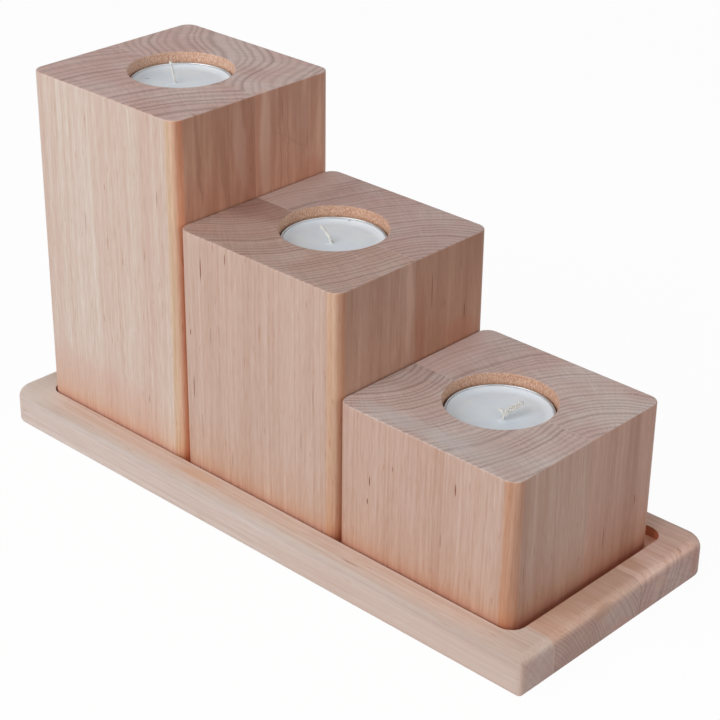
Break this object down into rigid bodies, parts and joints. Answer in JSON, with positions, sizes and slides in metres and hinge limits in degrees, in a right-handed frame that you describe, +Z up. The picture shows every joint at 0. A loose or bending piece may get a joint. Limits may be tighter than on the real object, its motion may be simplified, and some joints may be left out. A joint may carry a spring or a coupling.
{
  "type": "advent candle holder",
  "caption": "Stepped wooden candle holder: square blocks of falling height with tealight bores, lifting out of a recessed tray.",
  "frame": {"origin": "centre of the tray's underside, where the holder stands", "axes": "+Z up, +X along the tray from the tall block to the short block, -Y towards the front, where the play between blocks and rim is small"},
  "size_m": [0.2688, 0.107, 0.1527],
  "materials": {
    "tray_wood": "pale hardwood, planed and sanded, satin",
    "block_wood": "pale hardwood, planed and sanded, satin; sawn end grain on top",
    "cup_aluminium": "pressed thin sheet, bright",
    "paraffin_wax": "poured wax, translucent, soft sheen",
    "wick_cotton": "waxed braided cotton",
    "tab_steel": "pressed tinned steel"
  },
  "bodies": {
    "tray": {"tray_front_stave": "tray_wood", "tray_middle_stave": "tray_wood", "tray_back_stave": "tray_wood"},
    "tall_block": {"tall_front_stave": "block_wood", "tall_back_stave": "block_wood"},
    "tall_tealight": {"tall_cup": "cup_aluminium", "tall_wax": "paraffin_wax", "tall_wick": "wick_cotton", "tall_wick_tab": "tab_steel"},
    "middle_block": {"middle_front_stave": "block_wood", "middle_back_stave": "block_wood"},
    "middle_tealight": {"middle_cup": "cup_aluminium", "middle_wax": "paraffin_wax", "middle_wick": "wick_cotton", "middle_wick_tab": "tab_steel"},
    "short_block": {"short_front_stave": "block_wood", "short_back_stave": "block_wood"},
    "short_tealight": {"short_cup": "cup_aluminium", "short_wax": "paraffin_wax", "short_wick": "wick_cotton", "short_wick_tab": "tab_steel"}
  },
  "joints": [
    {"name": "tall_block_lift", "type": "slide", "parent": "tray", "child": "tall_block", "axis": [0, 0, 1], "range_m": [0, 0.15]},
    {"name": "tall_tealight_lift", "type": "slide", "parent": "tall_block", "child": "tall_tealight", "axis": [0, 0, 1], "range_m": [0, 0.04]},
    {"name": "middle_block_lift", "type": "slide", "parent": "tray", "child": "middle_block", "axis": [0, 0, 1], "range_m": [0, 0.15]},
    {"name": "middle_tealight_lift", "type": "slide", "parent": "middle_block", "child": "middle_tealight", "axis": [0, 0, 1], "range_m": [0, 0.04]},
    {"name": "short_block_lift", "type": "slide", "parent": "tray", "child": "short_block", "axis": [0, 0, 1], "range_m": [0, 0.15]},
    {"name": "short_tealight_lift", "type": "slide", "parent": "short_block", "child": "short_tealight", "axis": [0, 0, 1], "range_m": [0, 0.04]}
  ]
}
